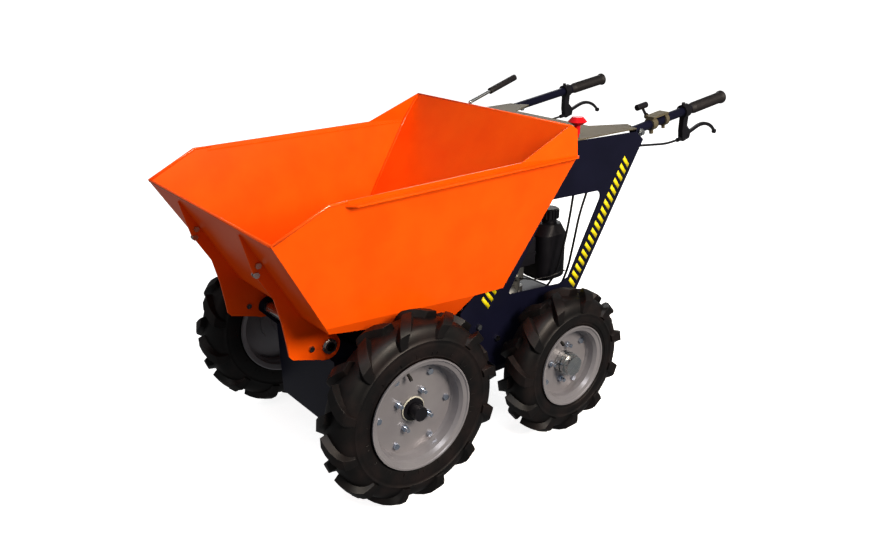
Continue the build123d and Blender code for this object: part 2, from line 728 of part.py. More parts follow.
with BuildPart() as handle_tube_left:
    handle_bar(handle_x, -22, handle_length, handle_r)
    handle_bar(handle_x, 6, handle_length + 1, handle_r - 2, mode=Mode.SUBTRACT)
    cylinder_x(handle_x - 20, handle_x + 20, *handle_bolt, 4.2, mode=Mode.SUBTRACT)
export(handle_tube_left, "handle_tube_left")
mirrored(handle_tube_left, "handle_tube_right")

with BuildPart() as handle_bolts:
    for side in (1, -1):
        cylinder_x(side * (handle_x - 19), side * (frame_x + 1), *handle_bolt, 4.1)
        cylinder_x(side * frame_x, side * (frame_x + 2), *handle_bolt, 10)
        hexagon_x(side * (frame_x + 2), side * (frame_x + 8), *handle_bolt, 7.5)
        hexagon_x(side * (handle_x - handle_r), side * (handle_x - handle_r - 7), *handle_bolt, 7.5)
export(handle_bolts, "handle_bolts")

grip_start, grip_end = handle_length - 138, handle_length + 6
with BuildPart() as grip_left:
    handle_bar(handle_x, grip_start, grip_end, 16.5)
    handle_bar(handle_x, grip_start - 14, grip_start + 4, 14.2)
    handle_bar(handle_x, grip_end - 8, grip_end, 19.5)
    fillet(grip_left.faces().sort_by(Axis.Y)[-1].edges(), 3)
    handle_bar(handle_x, grip_start - 15, handle_length, handle_r, mode=Mode.SUBTRACT)
export(grip_left, "grip_left")
mirrored(grip_left, "grip_right")

perch_at = grip_start - 36        # clamp of the lever perch along the tube
lever_pivot = along_handle(perch_at + 12, -74)
with BuildPart() as lever_perch_left:
    handle_bar(handle_x, perch_at - 12, perch_at + 12, 19)
    with BuildSketch(side_plane(handle_x - 8)):
        outline([along_handle(perch_at - 10, -14), along_handle(perch_at + 12, -14), along_handle(perch_at + 6, -44),
                 along_handle(perch_at + 24, -66), along_handle(perch_at + 18, -84), along_handle(perch_at - 14, -88),
                 along_handle(perch_at - 16, -56)])
    extrude(amount=16)
    fillet(lever_perch_left.edges().filter_by(Axis.X).group_by(Axis.Z)[0], 4)
    # cable stop at the front, clamp screw on top
    handle_bar(handle_x, perch_at - 30, perch_at - 10, 6, lift=-80)
    bar((handle_x, *along_handle(perch_at - 4, 17)), (handle_x, *along_handle(perch_at - 4, 25)), 5)
    # fork slot for the lever blade
    with BuildSketch(side_plane(handle_x - 4.4)):
        with Locations(lever_pivot):
            Circle(15)
        outline([along_handle(perch_at - 2, -58), along_handle(perch_at + 44, -58), along_handle(perch_at + 44, -100),
                 along_handle(perch_at - 2, -100)])
    extrude(amount=8.8, mode=Mode.SUBTRACT)
    handle_bar(handle_x, perch_at - 13, perch_at + 13, handle_r, mode=Mode.SUBTRACT)
    cylinder_x(handle_x - 9, handle_x + 9, *lever_pivot, 3, mode=Mode.ADD)
export(lever_perch_left, "lever_perch_left")
mirrored(lever_perch_left, "lever_perch_right")

blade_curve = [(8, -70), (40, -66), (78, -60), (112, -67), (152, -100)]
with BuildPart() as brake_lever:
    with BuildSketch(side_plane(handle_x - 4)) as blade:
        with Locations(lever_pivot):
            Circle(12)
        with BuildLine() as edge:
            top = Spline(*[along_handle(perch_at + a, b + 5) for a, b in blade_curve])
            low = Spline(*[along_handle(perch_at + a, b - 5) for a, b in blade_curve])
            Line(top @ 1, low @ 1)
            Line(low @ 0, top @ 0)
        make_face()
        with Locations(along_handle(perch_at + 152, -100)):
            Circle(6.5)
        with Locations(lever_pivot):
            Circle(3 + running, mode=Mode.SUBTRACT)
    extrude(amount=8)
    fillet(brake_lever.edges().group_by(Axis.X)[0].filter_by(lambda e: e.length > 60), 2)
export(brake_lever, "brake_lever")
mirrored(brake_lever, "clutch_lever")

throttle_at = 58.0
with BuildPart() as throttle_bracket:
    handle_bar(handle_x, throttle_at - 9, throttle_at + 9, 18)
    handle_bar(handle_x, throttle_at + 46, throttle_at + 60, 18)
    handle_bar(handle_x, throttle_at - 10, throttle_at + 61, handle_r, mode=Mode.SUBTRACT)
    with BuildSketch(side_plane(handle_x - 16)):
        outline([along_handle(throttle_at - 9, 17), along_handle(throttle_at + 60, 17),
                 along_handle(throttle_at + 56, 22), along_handle(throttle_at - 9, 22)])
    extrude(amount=32)
    bar((handle_x, *along_handle(throttle_at, -17)), (handle_x, *along_handle(throttle_at, -28)), 6)
    bar((handle_x, *along_handle(throttle_at + 53, -17)), (handle_x, *along_handle(throttle_at + 53, -26)), 5)
    cylinder_x(handle_x - 20, handle_x - 15, *along_handle(throttle_at, 19.5), 4, mode=Mode.ADD)
export(throttle_bracket, "throttle_bracket")

throttle_pivot = along_handle(throttle_at, 19.5)
with BuildPart() as throttle_lever:
    with BuildSketch(side_plane(handle_x - 19.6)) as arm:
        with Locations(throttle_pivot):
            Circle(8)
        outline([along_handle(throttle_at - 4, 19), along_handle(throttle_at + 5, 19),
                 along_handle(throttle_at - 14, 48), along_handle(throttle_at - 22, 48)])
        with Locations(throttle_pivot):
            Circle(4 + running, mode=Mode.SUBTRACT)
    extrude(amount=3.2)
    handle_bar(handle_x - 18, throttle_at - 42, throttle_at - 2, 8.5, lift=52)
    fillet(throttle_lever.faces().sort_by(Axis.Y)[0].edges(), 2)
export(throttle_lever, "throttle_lever")

# ---- gear lever and stop knob -----------------------------------------------
lever_base = (slot_x, lever_base_y, lever_base_z)
lever_bend = (slot_x, 620.0, 817.0)
lever_grip = (slot_x, 700.0, 842.0)
lever_tip = (slot_x, 799.0, 873.0)
with BuildPart() as gear_lever:
    bar(lever_base, lever_bend, 5)
    bar(lever_bend, lever_grip, 5)
    bar(lever_grip, lever_tip, 9)
    with Locations((slot_x, front_axle_y + lever_bend[1], lever_bend[2])):
        Sphere(5)
    cylinder_x(slot_x - 14, slot_x + 14, lever_base[1], lever_base[2], 9)
    cylinder_x(slot_x - 15, slot_x + 15, lever_base[1], lever_base[2], 5 + running, mode=Mode.SUBTRACT)
export(gear_lever, "gear_lever")

knob_x, knob_y = 232.0, 622.0
with BuildPart() as stop_knob:
    bar((knob_x, knob_y, console_z - 22), (knob_x, knob_y, console_z + 34), 6)
    bar((knob_x, knob_y, console_z + 8), (knob_x, knob_y, console_z + 34), 8)
    for low, high in ((console_z + 32, console_z + 41), (console_z + 41, console_z + 53)):
        with BuildSketch(level_plane(low)):
            with Locations((knob_x, knob_y)):
                Circle(12 if low < console_z + 40 else 25)
        with BuildSketch(level_plane(high)):
            with Locations((knob_x, knob_y)):
                Circle(25 if high < console_z + 50 else 14)
        loft()
export(stop_knob, "stop_knob")

# ---- catch that holds the skip down -------------------------------------------
# It is drawn released; swinging its hook forwards puts it over the striker pin.
catch_swing = 34.0


def released(points):
    """Stations given with the hook over the pin, swung back about the catch's pivot."""
    c, s = cos(radians(catch_swing)), sin(radians(catch_swing))
    steps = [(y - catch_pivot[0], z - catch_pivot[1]) for y, z in points]
    return [(catch_pivot[0] + dy * c + dz * s, catch_pivot[1] - dy * s + dz * c) for dy, dz in steps]


with BuildPart() as catch_lever:
    with BuildSketch(side_plane(catch_x - 10)) as hook:
        with Locations(catch_pivot):
            Circle(13)
        outline(released([(206, 388), (206, 402), (233, 402), (250, 378), (256, 364), (234, 360), (228, 376),
                          (226, 393.5), (211, 393.5), (209, 388)]))
        outline(released([(240, 354), (246, 378), (300, 405), (330, 420), (334, 412), (304, 395), (256, 362)]))
        with Locations(catch_pivot):
            Circle(7 + running, mode=Mode.SUBTRACT)
    extrude(amount=20)
export(catch_lever, "catch_lever")

# ---- control cables -------------------------------------------------------------
cable_r = 3.2


def cable(points, arc_radius=0.45):
    """Round cable along straight runs joined by tangent arcs that are as large as the runs allow."""
    route = [Vector(x, front_axle_y + y, z) for x, y, z in points]
    radii_list = []
    for before, corner, after in zip(route, route[1:], route[2:]):
        shorter = min((corner - before).length, (after - corner).length)
        turn = (corner - before).get_angle(after - corner)
        radii_list.append(arc_radius * shorter / (sin(radians(turn / 2)) / cos(radians(turn / 2))))
    with BuildLine() as path:
        FilletPolyline(*route, radius=radii_list)
    with BuildSketch(Plane(origin=route[0], z_dir=route[1] - route[0])) as section:
        Circle(cable_r)
    sweep(section.sketch, path=path.line)
    print("cable radii", [round(r) for r in radii_list])


brake_exit = along_handle(perch_at - 30.6, -80)
brake_route = [(handle_x, *brake_exit), (handle_x - 2, brake_exit[0] - 50, brake_exit[1] - 4),
               (handle_x - 8, 900, 722), (226, 850, 726), (220, 800, 722), (214, 745, 690), (212, 706, 640),
               (212, 672, 560), (212, 655, 480), (208, 640, 400), (196, 618, 336)]
with BuildPart() as brake_cable:
    cable(brake_route)
export(brake_cable, "brake_cable")
clutch_route = [(-x, y, z) for x, y, z in brake_route]
with BuildPart() as clutch_cable:
    cable(clutch_route)
export(clutch_cable, "clutch_cable")
gear_route = [(slot_x, 640, 742), (slot_x + 30, 652, 700), (slot_x + 40, 655, 650), (slot_x + 40, 646, 580),
              (slot_x + 38, 632, 500), (slot_x + 30, 618, 420), (slot_x + 20, 606, 338)]
throttle_route = [(218, 655, 742), (214, 652, 700), (212, 646, 640), (212, 634, 560), (212, 616, 480),
                  (206, 596, 400), (190, 560, 345)]
with BuildPart() as console_cables:
    cable(throttle_route)
    cable(gear_route)
export(console_cables, "console_cables")

# ---- wheels ---------------------------------------------------------------------
front_wheel = dict(x=front_wheel_x, y=0.0, z=front_axle_z, r=front_tyre_r, rim=front_rim_r, w=front_tyre_w,
                   lugs=front_lugs, disc=330.0, disc_r=117.0, bolt_r=98.0, bolts=6, first=-2.0, stud_first=58.0)
rear_wheel = dict(x=rear_wheel_x, y=wheelbase, z=rear_axle_z, r=rear_tyre_r, rim=rear_rim_r, w=rear_tyre_w,
                  lugs=rear_lugs, disc=336.0, disc_r=93.0, bolt_r=78.0, bolts=4, first=33.0, stud_first=79.0)


def tyre(wheel):
    """Traction tyre: carcass with two rows of angled lugs that meet near the crown."""
    half = wheel["w"] / 2
    crown = wheel["r"] - tread_depth
    bead = wheel["rim"] - 12
    with BuildSketch(wheel_plane(wheel["x"], wheel["y"], wheel["z"])) as section:
        with BuildLine():
            Polyline((-rim_w / 2 + 6, bead), (-rim_w / 2 + 4, wheel["rim"] + 2))
            Spline((-rim_w / 2 + 4, wheel["rim"] + 2), (-half, (wheel["rim"] + crown) / 2 + 4),
                   (-half * 0.74, crown - 8), (0, crown), (half * 0.74, crown - 8),
                   (half, (wheel["rim"] + crown) / 2 + 4), (rim_w / 2 - 4, wheel["rim"] + 2))
            Polyline((rim_w / 2 - 4, wheel["rim"] + 2), (rim_w / 2 - 6, bead), (-rim_w / 2 + 6, bead))
        make_face()
    revolve(section.sketch, axis=wheel_axis(wheel["y"], wheel["z"]))
    pitch = 360 / wheel["lugs"]
    for side in (1, -1):
        for step in range(wheel["lugs"]):
            angle = (step + (0.5 if side < 0 else 0)) * pitch
            spoke = Plane(origin=(wheel["x"], front_axle_y + wheel["y"], wheel["z"]), x_dir=(1, 0, 0),
                          z_dir=(0, cos(radians(angle)), sin(radians(angle))))
            foot = spoke.offset(crown - 12)
            with BuildSketch(foot) as low:
                outline([(side * -4, -9), (side * -4, 13), (side * (half - 6), 38), (side * (half - 6), 12)])
            with BuildSketch(spoke.offset(wheel["r"] - 1.5)) as high:
                outline([(side * -2, -5), (side * -2, 9), (side * (half - 14), 31), (side * (half - 14), 17)])
            loft([low.sketch, high.sketch])


def rim(wheel):
    """Pressed steel rim with bead flanges, deep well and recessed disc."""
    edge, flange, disc = rim_w / 2, wheel["rim"], wheel["disc"] - wheel["x"]
    bead, well, t = flange - 12, wheel["disc_r"], 3.0
    with BuildSketch(wheel_plane(wheel["x"], wheel["y"], wheel["z"])) as section:
        outline([(-edge, flange), (-edge, flange - 3), (-edge + 5, bead - t), (-edge + 22, bead - t - 2),
                 (-edge + 26, well), (disc - 4, well), (disc - 4, 24), (disc, 24), (disc, well - 3),
                 (disc + 8, well), (edge - 16, bead - t - 5), (edge - 6, bead - t), (edge - 3, flange - 6),
                 (edge, flange - 4), (edge, flange), (edge - 4, flange), (edge - 6, bead), (edge - 16, bead - 2),
                 (disc + 8, well + 3), (-edge + 28, well + 3), (-edge + 23, bead - 1), (-edge + 6, bead),
                 (-edge + 4, flange)])
    revolve(section.sketch, axis=wheel_axis(wheel["y"], wheel["z"]))
    # hub boss on the axle
    cylinder_x(wheel["disc"] - 46, wheel["disc"] - 3, wheel["y"], wheel["z"], 30)
    cylinder_x(wheel["disc"] - 12, wheel["disc"] - 3, wheel["y"], wheel["z"], 62)
    cylinder_x(wheel["disc"] - 50, wheel["disc"] + 4, wheel["y"], wheel["z"], axle_r, mode=Mode.SUBTRACT)


def circle_spots(wheel, radius, count, first):
    return [(wheel["y"] + radius * cos(radians(first + 360 / count * step)),
             wheel["z"] + radius * sin(radians(first + 360 / count * step))) for step in range(count)]


def wheel_bolts(wheel):
    """Rim bolts on the disc's edge and longer hub bolts round the middle, both wheels of one axle."""
    for side in (1, -1):
        for y, z in circle_spots(wheel, wheel["bolt_r"], wheel["bolts"], wheel["first"]):
            hexagon_x(side * wheel["disc"], side * (wheel["disc"] + 7), y, z, 8)
        for y, z in circle_spots(wheel, 50, 4, wheel["stud_first"]):
            hexagon_x(side * wheel["disc"], side * (wheel["disc"] + 8), y, z, 8.5)
            cylinder_x(side * wheel["disc"], side * (wheel["disc"] + 20), y, z, 5)


for end, wheel in (("front", front_wheel), ("rear", rear_wheel)):
    with BuildPart() as left_tyre:
        tyre(wheel)
    export(left_tyre, f"{end}_tyre_left")
    mirrored(left_tyre, f"{end}_tyre_right")
    with BuildPart() as left_rim:
        rim(wheel)
    export(left_rim, f"{end}_rim_left")
    mirrored(left_rim, f"{end}_rim_right")
    with BuildPart() as bolts:
        wheel_bolts(wheel)
    export(bolts, f"{end}_wheel_bolts")

axle_reach = 338.0
with BuildPart() as front_axle:
    cylinder_x(-axle_reach, axle_reach, 0, front_axle_z, axle_r)
    sprocket(front_chain_x, 0, front_axle_z, front_teeth)
    cylinder_x(front_chain_x - 12, front_chain_x + 12, 0, front_axle_z, 24)
export(front_axle, "front_axle")
with BuildPart() as rear_axle:
    cylinder_x(-axle_reach, axle_reach, wheelbase, rear_axle_z, axle_r)
    sprocket(rear_chain_x, wheelbase, rear_axle_z, rear_teeth)
    cylinder_x(rear_chain_x - 12, rear_chain_x + 12, wheelbase, rear_axle_z, 24)
export(rear_axle, "rear_axle")

with BuildPart() as front_hub_caps:
    for side in (1, -1):
        cylinder_x(side * axle_reach, side * 366, 0, front_axle_z, 18)
        cylinder_x(side * 331, side * 336, 0, front_axle_z, 29)
        cylinder_x(side * 330, side * axle_reach, 0, front_axle_z, axle_r, mode=Mode.SUBTRACT)
export(front_hub_caps, "front_hub_caps")
with BuildPart() as rear_hubs:
    for side in (1, -1):
        for start, end_x, radius in ((337, 352, 32), (352, 356, 27), (356, 366, 31), (366, 380, 27)):
            cylinder_x(side * start, side * end_x, wheelbase, rear_axle_z, radius)
        cylinder_x(side * 336, side * axle_reach, wheelbase, rear_axle_z, axle_r, mode=Mode.SUBTRACT)
export(rear_hubs, "rear_hubs")
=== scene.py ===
# %% [markdown]
# # Power wheelbarrow: from a bare mechanism to a finished machine
# The machine's mechanism is already modelled: a skip that tips, four driven wheels, an engine and a
# console. This lesson dresses it. It keeps each mechanical piece where it is, gives it a real finish,
# and builds the tyres, grips and trim again with more detail than an engineering model needs.

# %% Load the mechanism
import json
import math

import bmesh
import bpy
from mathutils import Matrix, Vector


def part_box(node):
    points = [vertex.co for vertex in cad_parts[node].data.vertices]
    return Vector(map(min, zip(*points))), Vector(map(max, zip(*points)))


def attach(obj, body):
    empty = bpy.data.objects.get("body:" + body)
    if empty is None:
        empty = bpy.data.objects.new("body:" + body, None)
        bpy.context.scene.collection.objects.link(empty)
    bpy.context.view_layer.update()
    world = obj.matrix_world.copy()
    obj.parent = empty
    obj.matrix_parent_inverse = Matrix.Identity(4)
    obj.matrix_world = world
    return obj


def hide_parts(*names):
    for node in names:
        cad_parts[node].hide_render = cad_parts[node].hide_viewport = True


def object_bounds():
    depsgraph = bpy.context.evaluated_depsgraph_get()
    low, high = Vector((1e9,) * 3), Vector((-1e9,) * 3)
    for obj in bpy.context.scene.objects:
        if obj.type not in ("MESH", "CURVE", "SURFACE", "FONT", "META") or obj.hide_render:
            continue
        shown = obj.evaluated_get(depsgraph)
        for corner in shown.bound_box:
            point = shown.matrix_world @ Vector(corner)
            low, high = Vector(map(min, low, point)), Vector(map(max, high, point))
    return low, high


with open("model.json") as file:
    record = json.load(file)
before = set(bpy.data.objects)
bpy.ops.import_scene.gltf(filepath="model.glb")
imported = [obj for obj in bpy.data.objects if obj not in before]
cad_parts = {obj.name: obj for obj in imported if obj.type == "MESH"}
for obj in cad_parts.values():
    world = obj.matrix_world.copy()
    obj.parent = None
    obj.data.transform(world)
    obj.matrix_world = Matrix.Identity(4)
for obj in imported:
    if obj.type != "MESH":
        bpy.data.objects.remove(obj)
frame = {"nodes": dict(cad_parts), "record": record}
cad_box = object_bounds()
nodes = frame["nodes"]
MM = 0.001
FRAME_START = 0.208                       # from the front axle back to the side frames' front end
front_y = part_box("side_frame_left")[0].y - FRAME_START     # where the front axle sits along the machine
AXLE_HEIGHT = {"front": 0.244, "rear": 0.2065}
HANDLE_RISE, HANDLE_RUN = 48.0, 378.0     # the handlebar tube's slope, up and back
print("nodes:", len(nodes), "box:", [tuple(round(v, 3) for v in corner) for corner in cad_box])

# %% [markdown]
# ## Camera and light
# The machine is seen from its front left corner, a little above the skip's rim. A moderate lens is
# used, with a small shift so that the machine sits in the frame without tilting the camera.
# The strongest soft light stands on the left side of the machine and is a little warm. A faint one
# fills the front, one stands behind, one hangs above, and a pale world lights everything else, as in
# a white studio.

# %% Camera
camera = bpy.data.objects.new("camera", bpy.data.cameras.new("camera"))
bpy.context.scene.collection.objects.link(camera)
bpy.context.scene.camera = camera
camera.data.sensor_width = 36.0
camera.data.lens = 33.78
camera.data.shift_x = -0.0353
camera.data.shift_y = 0.0433
camera.location = (1.692, -1.4338, 1.235)
camera.rotation_euler = (math.radians(90 - 24.04), 0.0, math.radians(50.33))
camera.data.clip_start = 0.05
print("camera at", tuple(camera.location))


# %% Colours from their sRGB hex values
def colour(hex_value):
    """An sRGB hex colour as the linear RGBA that shader sockets take."""
    channels = [int(hex_value[i:i + 2], 16) / 255 for i in (1, 3, 5)]
    linear = [c / 12.92 if c <= 0.04045 else ((c + 0.055) / 1.055) ** 2.4 for c in channels]
    return (*linear, 1.0)


print("mid grey is", round(colour("#808080")[0], 3), "in linear light")


# %% Lights and world
def soft_light(name, place, target, size, power, tint="#FFFFFF"):
    """A square studio panel at place that faces target."""
    lamp = bpy.data.lights.new(name, "AREA")
    lamp.size, lamp.energy, lamp.color = size, power, colour(tint)[:3]
    panel = bpy.data.objects.new(name, lamp)
    bpy.context.scene.collection.objects.link(panel)
    panel.location = place
    panel.rotation_euler = (Vector(target) - Vector(place)).to_track_quat("-Z", "Y").to_euler()
    return panel


middle = (cad_box[0] + cad_box[1]) / 2
soft_light("key_panel", (3.2, 0.2, 2.2), middle, 1.3, 125, "#FFF2E2")
soft_light("front_panel", (0.4, -3.6, 1.8), middle, 1.6, 3)
soft_light("back_panel", (-2.6, 2.6, 2.4), middle, 1.8, 26)
soft_light("top_panel", (1.2, -1.2, 3.0), middle, 1.0, 22)

world = bpy.data.worlds.new("studio")
bpy.context.scene.world = world
world.use_nodes = True
world.node_tree.nodes["Background"].inputs["Color"].default_value = colour("#FFFFFF")
world.node_tree.nodes["Background"].inputs["Strength"].default_value = 0.20
bpy.context.scene.view_settings.view_transform = "Standard"
bpy.context.scene.view_settings.look = "Medium High Contrast"

# %% [markdown]
# ## Materials
# Each finish starts from what the real surface is. Sheet metal here is powder coated, so it is a
# smooth dielectric film with a faint orange-peel ripple. Fasteners are bright zinc on steel, castings
# are sand or die cast aluminium, covers are moulded plastic with a fine grain, and tyres are matt
# black rubber that is a little brown with dust. Patterns are sized in millimetres.


# %% Node helper and base material
def add_node(tree, kind, settings=None, links=None):
    """Adds one node: settings are properties or socket values, links are {input: output socket}."""
    node = tree.nodes.new(kind)
    for key, value in (settings or {}).items():
        if key in node.inputs:
            node.inputs[key].default_value = value
        else:
            setattr(node, key, value)
    for key, source in (links or {}).items():
        tree.links.new(source, node.inputs[key])
    return node


def surface(name, **sockets):
    """A new material with a Principled shader whose sockets are set by name."""
    material = bpy.data.materials.new(name)
    material.use_nodes = True
    shader = material.node_tree.nodes["Principled BSDF"]
    for key, value in sockets.items():
        shader.inputs[key.replace("_", " ")].default_value = value
    return material, material.node_tree, shader


def grain(tree, size_mm, detail=2.0):
    """Noise whose lumps are size_mm across, in the machine's own coordinates."""
    place = add_node(tree, "ShaderNodeTexCoord")
    return add_node(tree, "ShaderNodeTexNoise", {"Scale": 1000.0 / size_mm, "Detail": detail},
                    {"Vector": place.outputs["Object"]})


def ripple(tree, shader, size_mm, height_mm, detail=2.0):
    """Bump from noise: lumps size_mm across and height_mm high."""
    noise = grain(tree, size_mm, detail)
    bump = add_node(tree, "ShaderNodeBump", {"Strength": 1.0, "Distance": height_mm * MM},
                    {"Height": noise.outputs["Fac"]})
    tree.links.new(bump.outputs["Normal"], shader.inputs["Normal"])
    return noise


def mottle(tree, shader, base, other, size_mm, low=0.35, high=0.7, socket="Base Color"):
    """Blends two colours in soft patches size_mm across."""
    noise = grain(tree, size_mm, 4.0)
    ramp = add_node(tree, "ShaderNodeValToRGB", links={"Fac": noise.outputs["Fac"]})
    ramp.color_ramp.elements[0].position, ramp.color_ramp.elements[0].color = low, colour(base)
    ramp.color_ramp.elements[1].position, ramp.color_ramp.elements[1].color = high, colour(other)
    tree.links.new(ramp.outputs["Color"], shader.inputs[socket])
    return ramp


def varied_roughness(tree, shader, low, high, size_mm):
    """Roughness that wanders between two values in patches, as handled surfaces do."""
    noise = grain(tree, size_mm, 3.0)
    span = add_node(tree, "ShaderNodeMapRange", {"To Min": low, "To Max": high},
                    {"Value": noise.outputs["Fac"]})
    tree.links.new(span.outputs["Result"], shader.inputs["Roughness"])


# %% Powder coats
def powder_coat(name, base, patch, roughness, peel_mm=0.04, sheen=0.3):
    """Polyester powder coat: a dielectric film with orange peel a few millimetres across."""
    material, tree, shader = surface(name, Roughness=roughness, IOR=1.45, Specular_IOR_Level=sheen)
    mottle(tree, shader, base, patch, 90)
    ripple(tree, shader, 5.0, peel_mm)
    return material


finishes = {
    # orange-red polyester powder coat on the skip: saturated, half gloss
    "skip_paint": powder_coat("skip_powder_coat", "#FA640C", "#F65C09", 0.30, 0.03, 0.22),
    # blue-black powder coat on the folded frame
    "frame_paint": powder_coat("frame_powder_coat", "#17182A", "#1B1C30", 0.32, 0.04, 0.22),
    # sand-grey powder coat on the console and throttle plate
    "console_paint": powder_coat("console_powder_coat", "#6A6350", "#625C50", 0.5, 0.04, 0.1),
    # silver-grey wheel enamel, slightly metallic from its flake
    "rim_paint": powder_coat("wheel_enamel", "#98969A", "#8E8C91", 0.33, 0.02, 0.5),
}
finishes["rim_paint"].node_tree.nodes["Principled BSDF"].inputs["Metallic"].default_value = 0.35
print("powder coats:", sorted(finishes))


# %% Metals
def bare_metal(name, base, patch, roughness, lump_mm, height_mm, spread=0.08):
    """Metal with its own colour and a surface texture from how it was made."""
    material, tree, shader = surface(name, Metallic=1.0)
    mottle(tree, shader, base, patch, 25)
    varied_roughness(tree, shader, roughness - spread, roughness + spread, 12)
    ripple(tree, shader, lump_mm, height_mm)
    return material


finishes["zinc"] = bare_metal("zinc_plated_steel", "#D3D4D2", "#BFC3C6", 0.26, 3.0, 0.01)
finishes["chain_steel"] = bare_metal("oiled_steel", "#6F6C68", "#55524E", 0.36, 2.0, 0.02)
finishes["cast_aluminium"] = bare_metal("die_cast_aluminium", "#C4C4C1", "#A9A9A6", 0.42, 1.6, 0.05)
finishes["cast_iron"] = bare_metal("painted_cast_iron", "#2B2B2E", "#232326", 0.5, 2.0, 0.10)
finishes["hot_steel"] = bare_metal("heat_blackened_steel", "#3A3633", "#4B3F37", 0.55, 2.5, 0.06)
print("metals done")


# %% Plastics and rubbers
def moulded(name, base, patch, roughness, grain_mm=0.8, height_mm=0.02, ior=1.46):
    """Moulded plastic or rubber with a fine sparked grain, drawn coarse enough to show."""
    material, tree, shader = surface(name, IOR=ior)
    mottle(tree, shader, base, patch, 40)
    varied_roughness(tree, shader, roughness - 0.06, roughness + 0.06, 30)
    ripple(tree, shader, grain_mm, height_mm)
    return material


finishes["black_plastic"] = moulded("black_nylon", "#141319", "#1A191F", 0.42)
finishes["red_plastic"] = moulded("red_abs", "#D81220", "#CE0F1D", 0.24, 2.0, 0.01, 1.54)
finishes["grip_rubber"] = moulded("grip_rubber", "#1D1A1C", "#242123", 0.62, 1.2, 0.05, 1.52)
finishes["belt_rubber"] = moulded("belt_rubber", "#151413", "#1B1A19", 0.7, 1.2, 0.05, 1.52)
finishes["cable_sleeve"] = moulded("cable_pvc", "#121216", "#17171B", 0.35, 2.0, 0.01, 1.53)


def tyre_rubber():
    """Natural rubber: matt, brown-black where dust has settled, with moulding ripples."""
    material, tree, shader = surface("tyre_rubber", IOR=1.52, Specular_IOR_Level=0.4)
    mottle(tree, shader, "#0B090A", "#211817", 55, 0.42, 0.7)
    varied_roughness(tree, shader, 0.38, 0.6, 45)
    ripple(tree, shader, 2.2, 0.12, 4.0)
    return material


finishes["tyre"] = tyre_rubber()
marking_yellow = moulded("yellow_vinyl", "#F3E21B", "#EBD912", 0.4, 2.0, 0.005)
pale_washer = moulded("pale_nylon", "#C9C8BC", "#BDBCB0", 0.4, 2.0, 0.01)
bright_zinc = bare_metal("bright_zinc_bolt", "#DDE3EC", "#B9C7DA", 0.2, 3.0, 0.01)
print("finishes:", len(finishes))

# %% [markdown]
# ## Finishing the mechanical pieces
# Folded sheet, castings and bolts never have razor edges: a small bevel catches the light along
# each one. The bevel is a modifier, so the piece itself isn't changed, and its width follows how the
# piece is made: wide on mouldings, narrow on sheet and bolts.

# %% Material and bevel on each mechanical piece
bevel_mm = {"skip_paint": 0.9, "frame_paint": 0.8, "console_paint": 0.6, "rim_paint": 1.0, "zinc": 0.7,
            "chain_steel": 0.4, "cast_aluminium": 1.4, "cast_iron": 1.5, "hot_steel": 1.5,
            "black_plastic": 1.6, "red_plastic": 1.2}


def round_edges(piece, width_mm, segments=2, angle=32):
    """Bevels the sharp edges of a piece and keeps its flat faces flat."""
    bevel = piece.modifiers.new("edge_round", "BEVEL")
    bevel.width, bevel.segments = width_mm * MM, segments
    bevel.limit_method, bevel.angle_limit = "ANGLE", math.radians(angle)
    bevel.harden_normals = True
    piece.data.shade_smooth()


def dress(piece, material):
    """Gives a piece one material in every slot."""
    if not piece.data.materials:
        piece.data.materials.append(material)
    for slot in piece.material_slots:
        slot.material = material


slot_of = {part["node"]: part["material_slot"] for part in frame["record"]["subparts"]}
for name, node in nodes.items():
    dress(node, finishes[slot_of[name]])
    if slot_of[name] in bevel_mm and "tyre" not in name:
        round_edges(node, bevel_mm[slot_of[name]])
for name in ("front_wheel_bolts", "rear_wheel_bolts"):
    dress(nodes[name], bright_zinc)
dress(nodes["skip_pivot_ears"], finishes["skip_paint"])
print("dressed", len(slot_of), "pieces")


# %% Helpers for new meshes
def new_piece(name, verts, faces, material, body):
    """A mesh object from vertices and faces that rides on a body."""
    mesh = bpy.data.meshes.new(name)
    mesh.from_pydata([tuple(v) for v in verts], [], faces)
    mesh.update()
    edit = bmesh.new()
    edit.from_mesh(mesh)
    bmesh.ops.recalc_face_normals(edit, faces=edit.faces)
    edit.to_mesh(mesh)
    edit.free()
    mesh.shade_smooth()
    piece = bpy.data.objects.new(name, mesh)
    bpy.context.scene.collection.objects.link(piece)
    dress(piece, material)
    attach(piece, body)
    return piece


def ring_faces(rows, columns, close_rows, start=0):
    """Quads over a grid of vertices whose columns wrap round; the rows may wrap too."""
    faces = []
    for row in range(rows if close_rows else rows - 1):
        for column in range(columns):
            following = (column + 1) % columns
            above = (row + 1) % rows
            faces.append((start + row * columns + column, start + row * columns + following,
                          start + above * columns + following, start + above * columns + column))
    return faces


# %% [markdown]
# ## Traction tyres
# A traction tyre is a smooth doughnut with thick bars moulded on it. The bars run at a slant from the
# crown, over the shoulder and some way down the sidewall, left and right ones alternating. The
# doughnut is a section turned round the axle. Each bar is a short swept block that follows the
# section's curve, so that it wraps the shoulder as the real one does, and a bevel rounds it. A raised
# ring and a groove end the tread on each sidewall, and short ribs stand near the rim.

# %% The tyre's section
TREAD = 17.0 * MM


